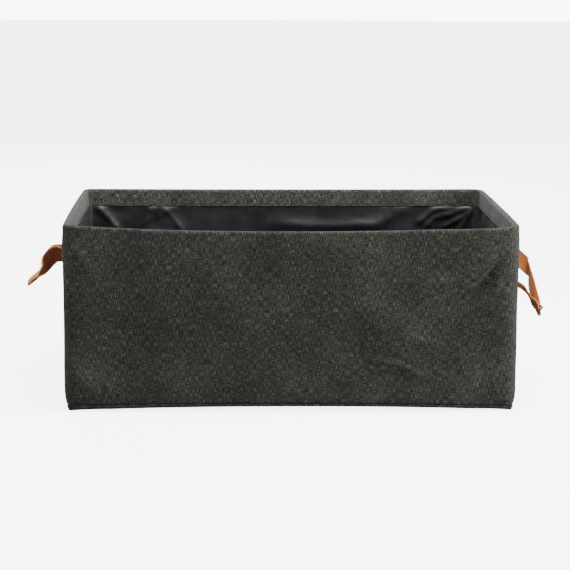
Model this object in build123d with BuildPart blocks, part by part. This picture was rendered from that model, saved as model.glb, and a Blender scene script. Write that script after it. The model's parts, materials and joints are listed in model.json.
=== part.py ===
"""Open fabric storage bin: soft cloth walls over a hidden wire frame, a loose inner lining,
a lift-out base board and a leather strap handle on each end wall.

Millimetres. +X runs along the long side, +Y to the back, +Z up.
The origin is the middle of the underside."""

from build123d import *
import os
from math import cos, radians, sin

os.makedirs("parts", exist_ok=True)

# --- driving dimensions ------------------------------------------------------------------
BODY_X = 600.0
BODY_Y = 400.0
BODY_Z = 250.0
CORNER_RADIUS = 18.0
RIM_BOW = 10.0
BASE_BOW = 1.0

CLOTH = 1.5
LINING = 1.2
FRAME_GAP = 6.0
BASE_LIP = 9.0
HEM_DEPTH = 25.0

WIRE_DIAMETER = 4.0
SLEEVE_DIAMETER = 5.4
SLEEVE_LENGTH = 30.0
CLIP_DIAMETER = 5.6
CLIP_LENGTH = 19.0
FOOT_HEIGHT = 12.5
FOOT_FLOOR = 2.5

BOARD_MARGIN = 11.0
BOARD_THICKNESS = 2.8
COVER_CLOTH = 0.7
BOARD_SLACK = 0.1

STRAP_WIDTH = 22.0
STRAP_THICKNESS = 2.2
STRAP_HEIGHT = 190.0
STRAP_SPREAD = 98.0
STRAP_REACH = 84.0
STRAP_DROOP = 48.0
TAB_LENGTH = 38.0
HINGE_STANDOFF = 4.0

PATCH_LENGTH = 44.0
PATCH_HEIGHT = 36.0
RIVET_SHANK = 3.2
RIVET_HEAD = 8.0
RIVET_HEAD_HEIGHT = 1.3
RIVET_TAIL = 6.0
WASHER_DIAMETER = 10.0
WASHER_THICKNESS = 0.8

BODY_GAP = 0.3
FIT_GAP = 0.05

# --- worked out from them ----------------------------------------------------------------
LINING_INSET = CLOTH + FRAME_GAP
INSIDE_INSET = LINING_INSET + LINING
WIRE_INSET = CLOTH + FRAME_GAP / 2
RIM_UNDERSIDE = BODY_Z - CLOTH
HEM_FOOT = BODY_Z - HEM_DEPTH
WIRE_HEIGHT = RIM_UNDERSIDE - FRAME_GAP / 2 - BODY_GAP
FLOOR_TOP = CLOTH + LINING
POST_TOP = WIRE_HEIGHT - WIRE_DIAMETER - 1.0
CORNER_X = BODY_X / 2 - CORNER_RADIUS
CORNER_Y = BODY_Y / 2 - CORNER_RADIUS
POST_SHIFT = (CORNER_RADIUS - WIRE_INSET) * cos(radians(45))
TAB_Y = STRAP_SPREAD / 2 + 14.0
RIVET_Y = TAB_Y + 5.0
ENDS = {"left": -1, "right": 1}
CORNERS = {
    "front_left": (-1, -1),
    "front_right": (1, -1),
    "back_left": (-1, 1),
    "back_right": (1, 1),
}

# Four wedges, cut along 45 degree lines from the corners, share a wall ring into its sides.
MARGIN = 40.0
OUT_X = BODY_X / 2 + MARGIN
OUT_Y = BODY_Y / 2 + MARGIN
RIDGE = (BODY_X - BODY_Y) / 2
WEDGES = {
    "front": [(-OUT_X, -OUT_Y), (OUT_X, -OUT_Y), (RIDGE, 0), (-RIDGE, 0)],
    "back": [(OUT_X, OUT_Y), (-OUT_X, OUT_Y), (-RIDGE, 0), (RIDGE, 0)],
    "left": [(-OUT_X, OUT_Y), (-OUT_X, -OUT_Y), (-RIDGE, 0)],
    "right": [(OUT_X, -OUT_Y), (OUT_X, OUT_Y), (RIDGE, 0)],
}


def bow_at(height):
    """How far the long walls belly out at a height: least at the base, most at the rim."""
    return BASE_BOW + (RIM_BOW - BASE_BOW) * height / BODY_Z


def outline(height, inset):
    """Plan of the bin at a height, moved in by inset: round corners and bowed long sides."""
    x = BODY_X / 2 - inset
    y = BODY_Y / 2 - inset
    bow = y + bow_at(height)
    radius = CORNER_RADIUS - inset
    with BuildSketch(Plane.XY.offset(height)) as plan:
        with BuildLine():
            ThreePointArc((-CORNER_X, -y), (0, -bow), (CORNER_X, -y))
            RadiusArc((CORNER_X, -y), (x, -CORNER_Y), -radius)
            Line((x, -CORNER_Y), (x, CORNER_Y))
            RadiusArc((x, CORNER_Y), (CORNER_X, y), -radius)
            ThreePointArc((CORNER_X, y), (0, bow), (-CORNER_X, y))
            RadiusArc((-CORNER_X, y), (-x, CORNER_Y), -radius)
            Line((-x, CORNER_Y), (-x, -CORNER_Y))
            RadiusArc((-x, -CORNER_Y), (-CORNER_X, -y), -radius)
        make_face()
    return plan.sketch


def fill_plan(low, high, inset, mode=Mode.ADD):
    """Solid between two heights with the bin's plan, moved in by inset."""
    loft(sections=[outline(low, inset), outline(high, inset)], ruled=True, mode=mode)


def wedge(side):
    """Upright prism that holds one side of the bin."""
    with BuildPart() as prism:
        with BuildSketch():
            with BuildLine():
                Polyline(*WEDGES[side], close=True)
            make_face()
        extrude(amount=BODY_Z + MARGIN)
    return prism.part


def save(piece, label):
    """Label a finished piece and write it as a STEP file."""
    piece.part.label = label
    export_step(piece.part, f"parts/{label}.step")


# --- outer cloth: four walls, folded in over the rim, and the base ------------------------
for side in WEDGES:
    with BuildPart() as outer_wall:
        fill_plan(BASE_LIP, BODY_Z, 0)
        fill_plan(BASE_LIP, RIM_UNDERSIDE, CLOTH, Mode.SUBTRACT)
        fill_plan(RIM_UNDERSIDE, BODY_Z, INSIDE_INSET, Mode.SUBTRACT)
        add(wedge(side), mode=Mode.INTERSECT)
        if side in ENDS:
            with BuildSketch(Plane.YZ.offset(ENDS[side] * BODY_X / 2)):
                with Locations((-RIVET_Y, STRAP_HEIGHT), (RIVET_Y, STRAP_HEIGHT)):
                    Circle(RIVET_SHANK / 2 + FIT_GAP)
            extrude(amount=-ENDS[side] * 2 * CLOTH, mode=Mode.SUBTRACT)
    save(outer_wall, f"{side}_panel")

# The base is a shallow tray: its edge turns up to meet the walls.
with BuildPart() as bottom_panel:
    fill_plan(0, BASE_LIP, 0)
    fill_plan(CLOTH, BASE_LIP, CLOTH, Mode.SUBTRACT)
save(bottom_panel, "bottom_panel")

# --- inside cloth: hem band below the rim, then the shiny lining --------------------------
for side in WEDGES:
    with BuildPart() as hem_band:
        fill_plan(HEM_FOOT, RIM_UNDERSIDE, LINING_INSET)
        fill_plan(HEM_FOOT, RIM_UNDERSIDE, INSIDE_INSET, Mode.SUBTRACT)
        add(wedge(side), mode=Mode.INTERSECT)
    save(hem_band, f"{side}_facing")

    with BuildPart() as wall_lining:
        fill_plan(FLOOR_TOP, HEM_FOOT, LINING_INSET)
        fill_plan(FLOOR_TOP, HEM_FOOT, INSIDE_INSET, Mode.SUBTRACT)
        add(wedge(side), mode=Mode.INTERSECT)
    save(wall_lining, f"{side}_lining")

with BuildPart() as floor_lining:
    fill_plan(CLOTH, FLOOR_TOP, LINING_INSET)
save(floor_lining, "floor_lining")

# --- rim wire: two bent halves, joined front and back by crimped sleeves ------------------
WIRE_X = BODY_X / 2 - WIRE_INSET
WIRE_Y = BODY_Y / 2 - WIRE_INSET
WIRE_BOW_Y = WIRE_Y + bow_at(WIRE_HEIGHT)
WIRE_END_GAP = 0.5
WIRE_BEND = 13.5
WIRE_EASE = 200.0


def wire_y(x):
    """Distance of the wire from the bin's long middle plane, which follows the bowed walls."""
    return WIRE_Y + bow_at(WIRE_HEIGHT) * (1 - (x / CORNER_X) ** 2)


for end_name, end in ENDS.items():
    # The tip that goes into the sleeve is straight, and the rest follows the bowed wall.
    half = [(WIRE_END_GAP, WIRE_BOW_Y), (SLEEVE_LENGTH * 0.7, WIRE_BOW_Y)]
    half += [(x, wire_y(x)) for x in (WIRE_X / 2, WIRE_X)]
    front_half = [(end * x, -y) for x, y in half]
    back_half = [(end * x, y) for x, y in reversed(half)]
    with BuildPart() as rim_wire:
        with BuildLine(Plane.XY.offset(WIRE_HEIGHT)) as route:
            FilletPolyline(
                *front_half, *back_half,
                radius=[WIRE_EASE, WIRE_EASE, WIRE_BEND, WIRE_BEND, WIRE_EASE, WIRE_EASE],
            )
        path = route.wires()[0]
        with BuildSketch(Plane(path @ 0, z_dir=path % 0)):
            Circle(WIRE_DIAMETER / 2)
        sweep(path=path)
    save(rim_wire, f"rim_wire_{end_name}")

for side, way in {"front": -1, "back": 1}.items():
    with BuildPart() as rim_sleeve:
        with BuildSketch(Plane.YZ.offset(-SLEEVE_LENGTH / 2)):
            with Locations((way * WIRE_BOW_Y, WIRE_HEIGHT)):
                Circle(SLEEVE_DIAMETER / 2)
                Circle(WIRE_DIAMETER / 2 + 2 * FIT_GAP, mode=Mode.SUBTRACT)
        extrude(amount=SLEEVE_LENGTH)
    save(rim_sleeve, f"rim_sleeve_{side}")

# --- corner posts: a rod in a foot at the base and a clip under the rim wire --------------
FOOT_TOP = CLOTH + FOOT_HEIGHT
ROD_FOOT = CLOTH + FOOT_FLOOR
CLIP_FOOT = WIRE_HEIGHT - CLIP_LENGTH
CLIP_TOP = WIRE_HEIGHT - 1.0
SADDLE_RADIUS = WIRE_DIAMETER / 2 + 0.7

for corner, (side_x, side_y) in CORNERS.items():
    post_x = side_x * (CORNER_X + POST_SHIFT)
    post_y = side_y * (CORNER_Y + POST_SHIFT)

    with BuildPart() as corner_post:
        with BuildSketch(Plane.XY.offset(ROD_FOOT)):
            with Locations((post_x, post_y)):
                Circle(WIRE_DIAMETER / 2)
        extrude(amount=POST_TOP - ROD_FOOT)
    save(corner_post, f"corner_post_{corner}")

    with BuildPart() as post_foot:
        with BuildSketch(Plane.XY.offset(CLOTH)):
            with Locations((post_x, post_y)):
                Circle(CLIP_DIAMETER / 2)
        extrude(amount=FOOT_HEIGHT)
        with BuildSketch(Plane.XY.offset(ROD_FOOT)):
            with Locations((post_x, post_y)):
                Circle(WIRE_DIAMETER / 2 + FIT_GAP)
        extrude(amount=FOOT_TOP - ROD_FOOT, mode=Mode.SUBTRACT)
    save(post_foot, f"post_foot_{corner}")

    with BuildPart() as post_clip:
        with BuildSketch(Plane.XY.offset(CLIP_FOOT)):
            with Locations((post_x, post_y)):
                Circle(CLIP_DIAMETER / 2)
        extrude(amount=CLIP_TOP - CLIP_FOOT)
        with BuildSketch(Plane.XY.offset(CLIP_FOOT)):
            with Locations((post_x, post_y)):
                Circle(WIRE_DIAMETER / 2 + FIT_GAP)
        extrude(amount=POST_TOP - CLIP_FOOT, mode=Mode.SUBTRACT)
        along_wire = Plane((post_x, post_y, WIRE_HEIGHT), z_dir=(side_x, -side_y, 0))
        with BuildSketch(along_wire):
            Circle(SADDLE_RADIUS)
        extrude(amount=CLIP_DIAMETER, both=True, mode=Mode.SUBTRACT)
    save(post_clip, f"post_clip_{corner}")

# --- lift-out base: a stiff board in a cloth cover that is open at one end ----------------
COVER_X = BODY_X - 2 * BOARD_MARGIN
COVER_Y = BODY_Y - 2 * BOARD_MARGIN
COVER_FOOT = FLOOR_TOP + BODY_GAP
COVER_HEIGHT = BOARD_THICKNESS + 2 * (COVER_CLOTH + BOARD_SLACK)
COVER_RADIUS = 9.0
POCKET_FOOT = COVER_FOOT + COVER_CLOTH
BOARD_INSET = COVER_CLOTH + BOARD_SLACK

with BuildPart() as base_board:
    with BuildSketch(Plane.XY.offset(POCKET_FOOT + BOARD_SLACK)):
        RectangleRounded(
            COVER_X - 2 * BOARD_INSET, COVER_Y - 2 * BOARD_INSET, COVER_RADIUS - BOARD_INSET
        )
    extrude(amount=BOARD_THICKNESS)
save(base_board, "base_board")

with BuildPart() as base_board_cover:
    with BuildSketch(Plane.XY.offset(COVER_FOOT)):
        RectangleRounded(COVER_X, COVER_Y, COVER_RADIUS)
    extrude(amount=COVER_HEIGHT)
    with BuildSketch(Plane.XY.offset(POCKET_FOOT)):
        RectangleRounded(
            COVER_X - 2 * COVER_CLOTH, COVER_Y - 2 * COVER_CLOTH, COVER_RADIUS - COVER_CLOTH
        )
        with Locations((COVER_X / 2, 0)):
            Rectangle(2 * COVER_RADIUS, COVER_Y - 2 * COVER_CLOTH)
    extrude(amount=COVER_HEIGHT - 2 * COVER_CLOTH, mode=Mode.SUBTRACT)
save(base_board_cover, "base_board_cover")

# --- handles: riveted strap ends on the wall and a loop that swings up and down -----------
WALL_X = BODY_X / 2
HINGE_X = WALL_X + HINGE_STANDOFF
PATCH_X = WALL_X - CLOTH - CLOTH
WASHER_X = PATCH_X - WASHER_THICKNESS
TAIL_X = WASHER_X - 1.0
LOOP_HALF_WIDTH = (STRAP_SPREAD + STRAP_WIDTH) / 2
LOOP_OUTER_RADIUS = 44.0
LOOP_INNER_RADIUS = LOOP_OUTER_RADIUS - STRAP_WIDTH

for end_name, end in ENDS.items():
    # The loop lies in a plane that droops from the hinge line.
    lean = radians(STRAP_DROOP)
    loop_plane = Plane(
        origin=(end * HINGE_X, 0, STRAP_HEIGHT),
        x_dir=(end * cos(lean), 0, -sin(lean)),
        z_dir=(end * sin(lean), 0, cos(lean)),
    )
    with BuildPart() as strap_loop:
        with BuildSketch(loop_plane):
            with BuildLine():
                FilletPolyline(
                    (0, -LOOP_HALF_WIDTH),
                    (STRAP_REACH, -LOOP_HALF_WIDTH),
                    (STRAP_REACH, LOOP_HALF_WIDTH),
                    (0, LOOP_HALF_WIDTH),
                    radius=LOOP_OUTER_RADIUS,
                )
                Line((0, LOOP_HALF_WIDTH), (0, LOOP_HALF_WIDTH - STRAP_WIDTH))
                FilletPolyline(
                    (0, LOOP_HALF_WIDTH - STRAP_WIDTH),
                    (STRAP_REACH - STRAP_WIDTH, LOOP_HALF_WIDTH - STRAP_WIDTH),
                    (STRAP_REACH - STRAP_WIDTH, STRAP_WIDTH - LOOP_HALF_WIDTH),
                    (0, STRAP_WIDTH - LOOP_HALF_WIDTH),
                    radius=LOOP_INNER_RADIUS,
                )
                Line((0, STRAP_WIDTH - LOOP_HALF_WIDTH), (0, -LOOP_HALF_WIDTH))
            make_face()
        extrude(amount=STRAP_THICKNESS / 2, both=True)
    save(strap_loop, f"{end_name}_strap_loop")

    for side, way in {"front": -1, "back": 1}.items():
        with BuildPart() as strap_tab:
            with BuildSketch(Plane.YZ.offset(end * WALL_X)):
                with Locations((way * TAB_Y, STRAP_HEIGHT)):
                    RectangleRounded(TAB_LENGTH, STRAP_WIDTH, 3.0)
                with Locations((way * RIVET_Y, STRAP_HEIGHT)):
                    Circle(RIVET_SHANK / 2 + FIT_GAP, mode=Mode.SUBTRACT)
            extrude(amount=end * STRAP_THICKNESS)
        save(strap_tab, f"{end_name}_strap_tab_{side}")

    with BuildPart() as wall_patches:
        with BuildSketch(Plane.YZ.offset(end * PATCH_X)):
            with Locations((-RIVET_Y, STRAP_HEIGHT), (RIVET_Y, STRAP_HEIGHT)):
                RectangleRounded(PATCH_LENGTH, PATCH_HEIGHT, 4.0)
                Circle(RIVET_SHANK / 2 + FIT_GAP, mode=Mode.SUBTRACT)
        extrude(amount=end * CLOTH)
    save(wall_patches, f"{end_name}_wall_patches")

    with BuildPart() as washers:
        with BuildSketch(Plane.YZ.offset(end * WASHER_X)):
            with Locations((-RIVET_Y, STRAP_HEIGHT), (RIVET_Y, STRAP_HEIGHT)):
                Circle(WASHER_DIAMETER / 2)
                Circle(RIVET_SHANK / 2 + FIT_GAP, mode=Mode.SUBTRACT)
        extrude(amount=end * WASHER_THICKNESS)
    save(washers, f"{end_name}_rivet_washers")

    with BuildPart() as rivets:
        with BuildSketch(Plane.YZ.offset(end * TAIL_X)):
            with Locations((-RIVET_Y, STRAP_HEIGHT), (RIVET_Y, STRAP_HEIGHT)):
                Circle(RIVET_TAIL / 2)
        extrude(amount=end * (WASHER_X - TAIL_X))
        with BuildSketch(Plane.YZ.offset(end * WASHER_X)):
            with Locations((-RIVET_Y, STRAP_HEIGHT), (RIVET_Y, STRAP_HEIGHT)):
                Circle(RIVET_SHANK / 2)
        extrude(amount=end * (WALL_X + STRAP_THICKNESS - WASHER_X))
        with BuildSketch(Plane.YZ.offset(end * (WALL_X + STRAP_THICKNESS))):
            with Locations((-RIVET_Y, STRAP_HEIGHT), (RIVET_Y, STRAP_HEIGHT)):
                Circle(RIVET_HEAD / 2)
        extrude(amount=end * RIVET_HEAD_HEIGHT, taper=35)
    save(rivets, f"{end_name}_rivets")
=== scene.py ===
"""Looks of an open fabric storage bin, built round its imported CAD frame.

The bin has soft linen-look walls folded over a hidden rim wire, a loose shiny lining, a stitched
hem band, a lift-out base board in a cloth sleeve, and a leather strap handle on each end wall.
Metres, +X to the right along the long side, +Y to the back wall, +Z up."""

import json
import logging
import math
from dataclasses import dataclass, field
from enum import Enum
from typing import Sequence

import bpy
import numpy as np
from mathutils import Matrix, Vector

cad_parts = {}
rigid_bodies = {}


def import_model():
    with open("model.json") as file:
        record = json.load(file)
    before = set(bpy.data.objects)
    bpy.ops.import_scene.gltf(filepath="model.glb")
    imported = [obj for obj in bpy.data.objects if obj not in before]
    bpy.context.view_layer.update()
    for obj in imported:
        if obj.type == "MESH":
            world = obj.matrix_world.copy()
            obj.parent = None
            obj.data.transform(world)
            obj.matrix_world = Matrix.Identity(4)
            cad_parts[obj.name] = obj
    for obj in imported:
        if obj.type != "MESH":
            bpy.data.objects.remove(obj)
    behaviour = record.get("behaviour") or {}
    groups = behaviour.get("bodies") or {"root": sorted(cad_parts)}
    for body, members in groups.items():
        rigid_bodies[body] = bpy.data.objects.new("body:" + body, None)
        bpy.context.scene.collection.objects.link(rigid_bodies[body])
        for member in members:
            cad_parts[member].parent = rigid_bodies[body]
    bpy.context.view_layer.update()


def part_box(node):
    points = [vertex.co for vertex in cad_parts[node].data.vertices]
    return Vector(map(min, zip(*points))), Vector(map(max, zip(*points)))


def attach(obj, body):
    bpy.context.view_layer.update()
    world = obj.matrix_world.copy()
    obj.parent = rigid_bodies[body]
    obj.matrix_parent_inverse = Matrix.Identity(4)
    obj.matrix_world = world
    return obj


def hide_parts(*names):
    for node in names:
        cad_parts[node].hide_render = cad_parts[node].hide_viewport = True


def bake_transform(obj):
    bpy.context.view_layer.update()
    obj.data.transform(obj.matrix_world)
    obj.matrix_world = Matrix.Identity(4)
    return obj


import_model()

LOG = logging.getLogger("fabric_bin")
MM = 0.001


# --- small helpers ------------------------------------------------------------------------
def smooth_step(value: np.ndarray, low: float, high: float) -> np.ndarray:
    """Ease a value from 0 at low to 1 at high.

    Args:
        value: The values to ease.
        low: Where the result is 0.
        high: Where the result is 1.

    Returns:
        The eased values, from 0 to 1.
    """
    share = np.clip((value - low) / (high - low), 0.0, 1.0)
    return share * share * (3.0 - 2.0 * share)


def grid_object(name: str, points: np.ndarray, uv: np.ndarray, closed: bool) -> bpy.types.Object:
    """Make a mesh object from a grid of points.

    Args:
        name: The object's name.
        points: Rows x columns x 3, in metres.
        uv: Rows x (columns, plus one if closed) x 2, the flat cloth's own metres.
        closed: Whether the last column joins the first.

    Returns:
        The new object, smooth shaded, with its flat-cloth coordinates in a UV map.
    """
    rows, columns = points.shape[:2]
    across = columns if closed else columns - 1
    row, column = np.meshgrid(np.arange(rows - 1), np.arange(across), indexing="ij")
    after = (column + 1) % columns
    faces = np.stack(
        [row * columns + column, row * columns + after,
         (row + 1) * columns + after, (row + 1) * columns + column], axis=-1
    ).reshape(-1, 4)
    mesh = bpy.data.meshes.new(name)
    mesh.from_pydata(points.reshape(-1, 3).tolist(), [], faces.tolist())
    corners = np.stack(
        [uv[row, column], uv[row, column + 1], uv[row + 1, column + 1], uv[row + 1, column]], axis=2
    ).reshape(-1, 2)
    layer = mesh.uv_layers.new(name="cloth")
    layer.data.foreach_set("uv", corners.astype(np.float32).ravel())
    mesh.polygons.foreach_set("use_smooth", [True] * len(mesh.polygons))
    mesh.update()
    made = bpy.data.objects.new(name, mesh)
    bpy.context.scene.collection.objects.link(made)
    return made


def loose_object(name: str, points: np.ndarray, faces: Sequence[Sequence[int]]) -> bpy.types.Object:
    """Make a smooth-shaded mesh object from points and faces.

    Args:
        name: The object's name.
        points: Points x 3, in metres.
        faces: The point numbers of each face.

    Returns:
        The new object.
    """
    mesh = bpy.data.meshes.new(name)
    mesh.from_pydata(np.asarray(points).tolist(), [], [list(face) for face in faces])
    mesh.polygons.foreach_set("use_smooth", [True] * len(mesh.polygons))
    mesh.update()
    made = bpy.data.objects.new(name, mesh)
    bpy.context.scene.collection.objects.link(made)
    return made


def thicken(piece: bpy.types.Object, thickness: float, offset: float = -1.0) -> None:
    """Give a sheet a real thickness.

    Args:
        piece: The sheet.
        thickness: How thick it gets, in metres.
        offset: -1 grows it behind its faces, 1 in front of them.
    """
    solid = piece.modifiers.new("thickness", "SOLIDIFY")
    solid.thickness = thickness
    solid.offset = offset
    solid.use_even_offset = False


class Tree:
    """A material's node tree, with short calls for the nodes that the finishes use."""

    def __init__(self, name: str) -> None:
        """Start a material with one Principled shader.

        Args:
            name: The material's name.
        """
        self.material = bpy.data.materials.new(name)
        self.material.use_nodes = True
        self.nodes = self.material.node_tree.nodes
        self.links = self.material.node_tree.links
        self.shader = self.nodes["Principled BSDF"]

    def node(self, kind: str, **inputs: object) -> bpy.types.Node:
        """Add a node and set or link its inputs.

        Args:
            kind: Blender's node type.
            **inputs: Socket name, with _ for a space, and its value or the socket to link.

        Returns:
            The new node.
        """
        made = self.nodes.new(kind)
        for name, value in inputs.items():
            socket = made.inputs[int(name[1:])] if name[0] == "i" and name[1:].isdigit() else (
                made.inputs[name.replace("_", " ")]
            )
            self.feed(socket, value)
        return made

    def feed(self, socket: bpy.types.NodeSocket, value: object) -> None:
        """Link a socket to another socket, or set its value."""
        if isinstance(value, bpy.types.NodeSocket):
            self.links.new(value, socket)
        else:
            socket.default_value = value

    def math(self, operation: str, first: object, second: object = 0.0) -> bpy.types.NodeSocket:
        """Combine two numbers and return the resulting socket."""
        made = self.node("ShaderNodeMath", i0=first, i1=second)
        made.operation = operation
        return made.outputs[0]

    def cloth_mm(self, along: float, up: float, shift: float = 0.0) -> bpy.types.NodeSocket:
        """Flat-cloth coordinates, counted in cells of a given size.

        Args:
            along: The cell's width, in mm.
            up: The cell's height, in mm.
            shift: A number that makes one pattern differ from another.

        Returns:
            A vector socket.
        """
        place = self.node("ShaderNodeUVMap")
        place.uv_map = "cloth"
        scale = self.node("ShaderNodeMapping", Vector=place.outputs[0])
        scale.inputs["Scale"].default_value = (1000.0 / along, 1000.0 / up, 1.0)
        scale.inputs["Location"].default_value = (shift, shift * 0.7, shift)
        return scale.outputs[0]

    def object_cells(self, scale: Sequence[float]) -> bpy.types.NodeSocket:
        """The piece's own coordinates, multiplied by a scale on each axis."""
        place = self.node("ShaderNodeTexCoord")
        stretch = self.node("ShaderNodeMapping", Vector=place.outputs["Object"])
        stretch.inputs["Scale"].default_value = tuple(scale)
        return stretch.outputs[0]

    def noise(self, vector: bpy.types.NodeSocket, scale: float, detail: float = 2.0,
              roughness: float = 0.5) -> bpy.types.NodeSocket:
        """Cloudy noise from 0 to 1 at a vector."""
        made = self.node("ShaderNodeTexNoise", Vector=vector, Scale=scale, Detail=detail,
                         Roughness=roughness)
        return made.outputs[0]

    def ramp(self, value: bpy.types.NodeSocket,
             stops: Sequence[tuple[float, Sequence[float]]]) -> bpy.types.NodeSocket:
        """Turn a number into a colour.

        Args:
            value: The number, from 0 to 1.
            stops: Pairs of a position and its colour.

        Returns:
            The colour socket.
        """
        made = self.node("ShaderNodeValToRGB", Fac=value)
        elements = made.color_ramp.elements
        while len(elements) < len(stops):
            elements.new(0.5)
        for element, (position, colour) in zip(elements, stops):
            element.position = position
            element.color = (*colour, 1.0)
        return made.outputs[0]

    def bump(self, height: bpy.types.NodeSocket, depth: float, strength: float = 1.0,
             under: bpy.types.NodeSocket | None = None) -> bpy.types.NodeSocket:
        """Turn a height into a shading normal.

        Args:
            height: The height, from 0 to 1.
            depth: What a height of 1 stands for, in metres.
            strength: The share of the relief that shows.
            under: A normal that this relief lies on.

        Returns:
            The normal socket.
        """
        made = self.node("ShaderNodeBump", Height=height, Distance=depth, Strength=strength)
        if under is not None:
            self.links.new(under, made.inputs["Normal"])
        return made.outputs[0]


def dress(piece: bpy.types.Object, *materials: bpy.types.Material) -> None:
    """Give a piece its materials, in place of any that it has."""
    piece.data.materials.clear()
    for material in materials:
        piece.data.materials.append(material)


# --- finishes -----------------------------------------------------------------------------
@dataclass(frozen=True)
class Linen:
    """Dark melange cloth: a plain weave with lighter slubs both ways."""

    name: str
    dark: tuple[float, float, float]
    middle: tuple[float, float, float]
    light: tuple[float, float, float]
    roughness: float = 0.92
    sheen: float = 0.12

    def material(self) -> bpy.types.Material:
        """Build the material."""
        tree = Tree(self.name)
        upright = tree.noise(tree.cloth_mm(0.62, 8.0), 1.0, 1.0, 0.6)
        level = tree.noise(tree.cloth_mm(8.5, 0.62, 5.0), 1.0, 1.0, 0.6)
        grain = tree.noise(tree.cloth_mm(0.6, 0.7, 9.0), 1.0, 1.0)
        cloud = tree.noise(tree.cloth_mm(60.0, 90.0, 3.0), 1.0, 3.0)
        threads = tree.math("ADD", tree.math("MULTIPLY", upright, 0.48),
                            tree.math("MULTIPLY", level, 0.34))
        threads = tree.math("ADD", threads, tree.math("MULTIPLY", grain, 0.18))
        mixed = tree.math("ADD", threads, tree.math("MULTIPLY", cloud, 0.12))
        colour = tree.ramp(
            mixed, [(0.46, self.dark), (0.56, self.middle), (0.68, self.light)]
        )
        tree.feed(tree.shader.inputs["Base Color"], colour)
        tree.shader.inputs["Roughness"].default_value = self.roughness
        tree.shader.inputs["Specular IOR Level"].default_value = 0.25
        tree.shader.inputs["Sheen Weight"].default_value = self.sheen
        tree.shader.inputs["Sheen Roughness"].default_value = 0.5
        weave = tree.node("ShaderNodeTexChecker", Vector=tree.cloth_mm(0.8, 0.8, 0.0), Scale=1.0)
        relief = tree.math("ADD", tree.math("MULTIPLY", weave.outputs["Fac"], 0.25), threads)
        tree.feed(tree.shader.inputs["Normal"], tree.bump(relief, 0.0006, 0.7))
        return tree.material


@dataclass(frozen=True)
class Satin:
    """Thin dark lining cloth with a silky shine and fine creases."""

    name: str
    colour: tuple[float, float, float] = (0.0075, 0.0082, 0.0098)
    lit: tuple[float, float, float] = (0.014, 0.0148, 0.0165)
    roughness: float = 0.46

    def material(self) -> bpy.types.Material:
        """Build the material."""
        tree = Tree(self.name)
        cloud = tree.noise(tree.cloth_mm(26.0, 34.0), 1.0, 3.0, 0.6)
        colour = tree.ramp(cloud, [(0.3, self.colour), (0.75, self.lit)])
        tree.feed(tree.shader.inputs["Base Color"], colour)
        gloss = tree.ramp(cloud, [(0.3, (self.roughness - 0.04,) * 3),
                                  (0.8, (self.roughness + 0.10,) * 3)])
        tree.feed(tree.shader.inputs["Roughness"], gloss)
        tree.shader.inputs["Specular IOR Level"].default_value = 0.36
        tree.shader.inputs["Sheen Weight"].default_value = 0.03
        threads = tree.noise(tree.cloth_mm(0.35, 3.0, 2.0), 1.0, 1.0)
        creases = tree.noise(tree.cloth_mm(9.0, 15.0, 6.0), 1.0, 4.0, 0.62)
        soft = tree.bump(creases, 0.0014, 0.4)
        tree.feed(tree.shader.inputs["Normal"], tree.bump(threads, 0.0001, 0.35, soft))
        return tree.material


@dataclass(frozen=True)
class Leather:
    """Coated strap leather with a fine pebble grain and rubbed patches."""

    name: str
    colour: tuple[float, float, float]
    rubbed: tuple[float, float, float]
    roughness: float = 0.46
    shine: float = 0.3

    def material(self) -> bpy.types.Material:
        """Build the material."""
        tree = Tree(self.name)
        cloud = tree.noise(tree.object_cells((1.0, 1.0, 1.0)), 38.0, 4.0, 0.6)
        colour = tree.ramp(cloud, [(0.32, self.colour), (0.72, self.rubbed)])
        tree.feed(tree.shader.inputs["Base Color"], colour)
        gloss = tree.ramp(cloud, [(0.3, (self.roughness - 0.06,) * 3),
                                  (0.8, (self.roughness + 0.12,) * 3)])
        tree.feed(tree.shader.inputs["Roughness"], gloss)
        tree.shader.inputs["Specular IOR Level"].default_value = self.shine
        pebbles = tree.node("ShaderNodeTexVoronoi", Vector=tree.object_cells((1.0, 1.0, 1.0)),
                            Scale=900.0)
        pores = tree.noise(tree.object_cells((1.0, 1.0, 1.0)), 260.0, 3.0)
        low = tree.bump(pores, 0.0004, 0.3)
        tree.feed(tree.shader.inputs["Normal"],
                  tree.bump(pebbles.outputs["Distance"], 0.00025, 0.45, low))
        return tree.material


class Grain(Enum):
    """The direction and size of the fine relief on a hard or plain piece."""

    DRAWN = (30.0, 900.0, 900.0)
    UPRIGHT = (900.0, 900.0, 24.0)
    MOULDED = (420.0, 420.0, 420.0)
    PRESSED = (160.0, 160.0, 160.0)
    RIBBED = (60.0, 60.0, 520.0)


@dataclass(frozen=True)
class Plain:
    """A hard or hidden piece's finish: two close shades and a fine relief."""

    name: str
    dark: tuple[float, float, float]
    light: tuple[float, float, float]
    grain: Grain
    metallic: float = 0.0
    roughness: float = 0.5
    relief: float = 0.00008

    def material(self) -> bpy.types.Material:
        """Build the material."""
        tree = Tree(self.name)
        lines = tree.noise(tree.object_cells(self.grain.value), 1.0, 3.0, 0.6)
        tree.feed(tree.shader.inputs["Base Color"],
                  tree.ramp(lines, [(0.3, self.dark), (0.72, self.light)]))
        tree.feed(tree.shader.inputs["Roughness"],
                  tree.ramp(lines, [(0.3, (self.roughness + 0.08,) * 3),
                                    (0.75, (self.roughness - 0.06,) * 3)]))
        tree.shader.inputs["Metallic"].default_value = self.metallic
        tree.feed(tree.shader.inputs["Normal"], tree.bump(lines, self.relief, 0.6))
        return tree.material


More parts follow.
